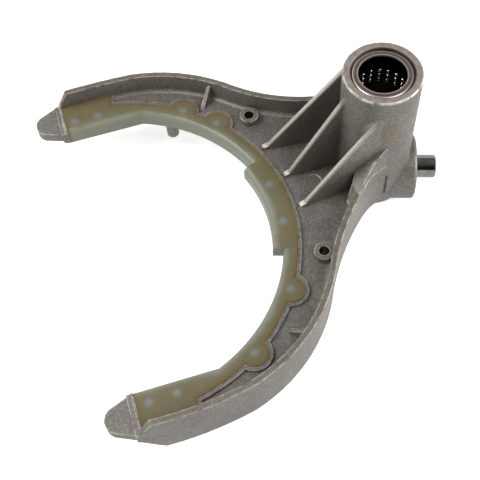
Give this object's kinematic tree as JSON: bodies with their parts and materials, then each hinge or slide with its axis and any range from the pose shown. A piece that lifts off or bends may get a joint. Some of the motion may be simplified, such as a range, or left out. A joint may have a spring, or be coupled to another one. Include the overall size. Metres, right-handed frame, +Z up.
{
  "type": "transmission mode fork",
  "caption": "Die-cast shift fork with a moulded slide pad round its C-shaped mouth, a ribbed hub with ball bushings and a side follower pin.",
  "frame": {"origin": "on the rail bore's axis, level with the underside of the fork's outer wall", "axes": "+Z up along the rail bore towards its open upper end, +X from the centre of the mouth to the bore, so the mouth lies towards -X"},
  "size_m": [0.1877, 0.1764, 0.0827],
  "materials": {
    "cast_aluminium": "as die-cast and lightly stained, dull grey",
    "nylon": "moulded nylon gone olive with oil, slightly translucent",
    "hardened_steel": "ground and polished",
    "drawn_steel": "drawn, oily brown-grey",
    "cage_steel": "stamped, dark with oil",
    "ball_steel": "polished balls"
  },
  "bodies": {
    "fork": {"fork_casting": "cast_aluminium", "slide_pad": "nylon", "cam_pin": "hardened_steel", "upper_bushing_cup": "drawn_steel", "lower_bushing_cup": "drawn_steel"},
    "upper_cage": {"upper_ball_cage": "cage_steel", "upper_balls": "ball_steel"},
    "lower_cage": {"lower_ball_cage": "cage_steel", "lower_balls": "ball_steel"}
  },
  "joints": [
    {"name": "upper_cage_slide", "type": "slide", "parent": "fork", "child": "upper_cage", "axis": [0, 0, 1], "range_m": [0, 0.0075]},
    {"name": "lower_cage_slide", "type": "slide", "parent": "fork", "child": "lower_cage", "axis": [0, 0, 1], "range_m": [0, 0.0075]}
  ]
}
